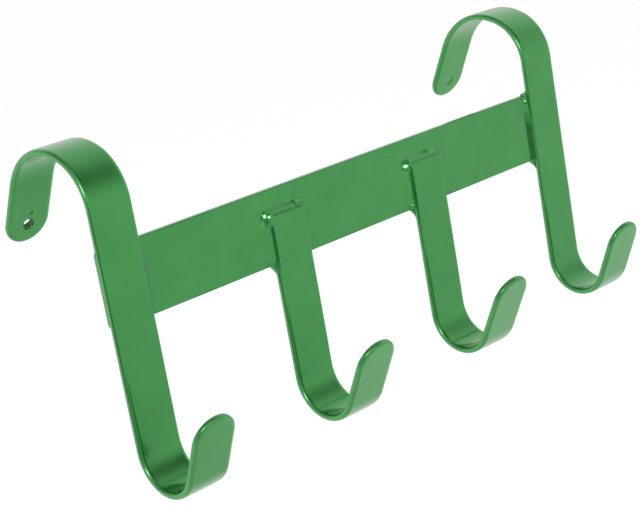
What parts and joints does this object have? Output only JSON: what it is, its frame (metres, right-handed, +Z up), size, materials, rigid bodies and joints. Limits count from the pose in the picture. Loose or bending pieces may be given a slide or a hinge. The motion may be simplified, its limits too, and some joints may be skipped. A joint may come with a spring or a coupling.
{
  "type": "tack hanger",
  "caption": "Welded rack of painted flat steel bar: two end straps arch over a stable door's top edge and hold a crossbar, and a row of open tack hooks stands out from it.",
  "frame": {"origin": "centre of the crossbar's flat back face, which lies against the door's front face", "axes": "+Z up, +Y back into the door and square to the crossbar's back face, +X along the crossbar to the viewer's right when facing the hooks"},
  "size_m": [0.3536, 0.1421, 0.1778],
  "materials": {
    "green_paint": "semi-gloss green paint over bent flat steel bar",
    "green_paint_over_weld": "the same paint over rippled weld beads"
  },
  "bodies": {
    "root": {"crossbar": "green_paint", "left_strap": "green_paint", "right_strap": "green_paint", "left_hook": "green_paint", "right_hook": "green_paint", "left_strap_outer_weld": "green_paint_over_weld", "left_strap_inner_weld": "green_paint_over_weld", "left_hook_left_weld": "green_paint_over_weld", "left_hook_right_weld": "green_paint_over_weld", "left_hook_top_weld": "green_paint_over_weld", "right_hook_left_weld": "green_paint_over_weld", "right_hook_right_weld": "green_paint_over_weld", "right_hook_top_weld": "green_paint_over_weld", "right_strap_inner_weld": "green_paint_over_weld", "right_strap_outer_weld": "green_paint_over_weld"}
  },
  "joints": []
}
